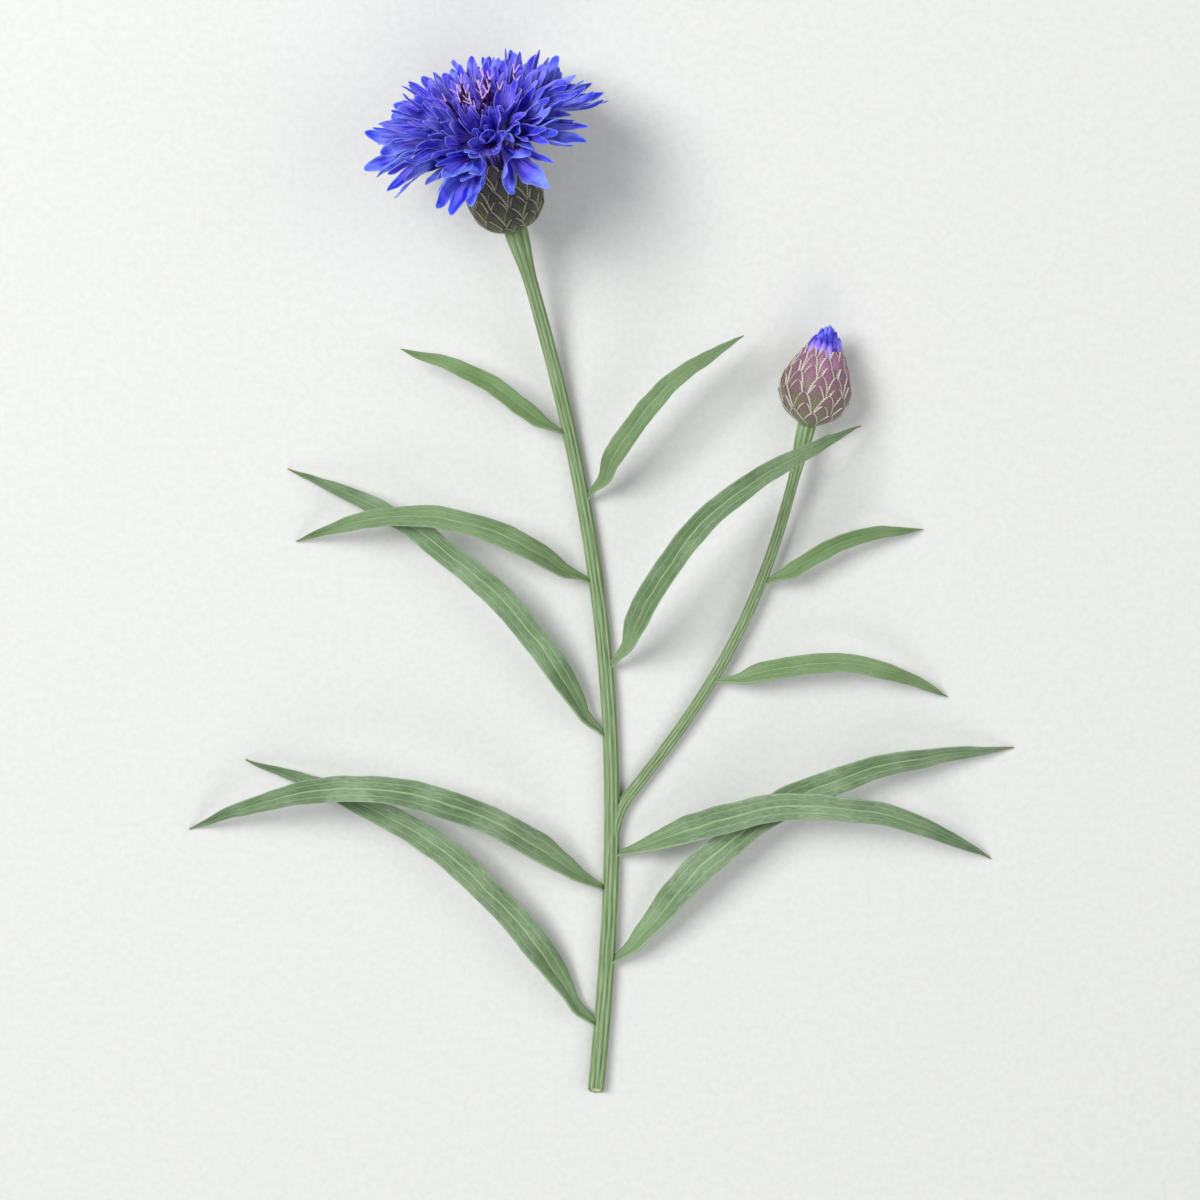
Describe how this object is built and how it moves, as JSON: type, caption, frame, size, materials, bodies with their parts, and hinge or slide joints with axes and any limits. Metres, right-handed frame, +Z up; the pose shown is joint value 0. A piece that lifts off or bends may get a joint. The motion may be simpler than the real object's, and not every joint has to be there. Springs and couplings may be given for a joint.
{
  "type": "cornflower",
  "caption": "Double blue cornflower as picked: full head on a scaly cup, leafy stem, and a side shoot with a closed bud, lying on its side.",
  "frame": {"origin": "middle of the bottom of the bounding box, on the surface that the flower lies on", "axes": "+Y along the stem from its cut end towards the head, +Z up from the surface, +X towards the side shoot with the bud"},
  "size_m": [0.1376, 0.1776, 0.0368],
  "materials": {
    "cornflower_blue": "soft matte petal, clear blue to violet-blue",
    "disc_violet": "soft matte petal, violet",
    "woolly_stem": "grey-green, ribbed and thinly woolly",
    "woolly_leaf": "grey-green, woolly, with a pale midrib",
    "cup_core": "pale green, hidden inside the cup",
    "bract": "dark green to purple-brown scales with pale fringed edges"
  },
  "bodies": {
    "root": {"bud_bract_row_1": "bract", "bud_bract_row_2": "bract", "bud_bract_row_3": "bract", "bud_bract_row_4": "bract", "bud_core": "cup_core", "bud_tuft": "disc_violet", "disc_floret_01": "disc_violet", "disc_floret_02": "disc_violet", "disc_floret_03": "disc_violet", "disc_floret_04": "disc_violet", "disc_floret_05": "disc_violet", "head_bract_row_1": "bract", "head_bract_row_2": "bract", "head_bract_row_3": "bract", "head_bract_row_4": "bract", "head_core": "cup_core", "inner_floret_01": "cornflower_blue", "inner_floret_02": "cornflower_blue", "inner_floret_03": "cornflower_blue", "inner_floret_04": "cornflower_blue", "inner_floret_05": "cornflower_blue", "inner_floret_06": "cornflower_blue", "inner_floret_07": "cornflower_blue", "leaf_01": "woolly_leaf", "leaf_02": "woolly_leaf", "leaf_03": "woolly_leaf", "leaf_04": "woolly_leaf", "leaf_05": "woolly_leaf", "leaf_06": "woolly_leaf", "leaf_07": "woolly_leaf", "leaf_08": "woolly_leaf", "leaf_09": "woolly_leaf", "middle_floret_01": "cornflower_blue", "middle_floret_02": "cornflower_blue", "middle_floret_03": "cornflower_blue", "middle_floret_04": "cornflower_blue", "middle_floret_05": "cornflower_blue", "middle_floret_06": "cornflower_blue", "middle_floret_07": "cornflower_blue", "middle_floret_08": "cornflower_blue", "middle_floret_09": "cornflower_blue", "middle_floret_10": "cornflower_blue", "outer_floret_01": "cornflower_blue", "outer_floret_02": "cornflower_blue", "outer_floret_03": "cornflower_blue", "outer_floret_04": "cornflower_blue", "outer_floret_05": "cornflower_blue", "outer_floret_06": "cornflower_blue", "outer_floret_07": "cornflower_blue", "outer_floret_08": "cornflower_blue", "outer_floret_09": "cornflower_blue", "outer_floret_10": "cornflower_blue", "shoot_leaf_01": "woolly_leaf", "shoot_leaf_02": "woolly_leaf", "side_shoot": "woolly_stem", "stem": "woolly_stem"}
  },
  "joints": []
}
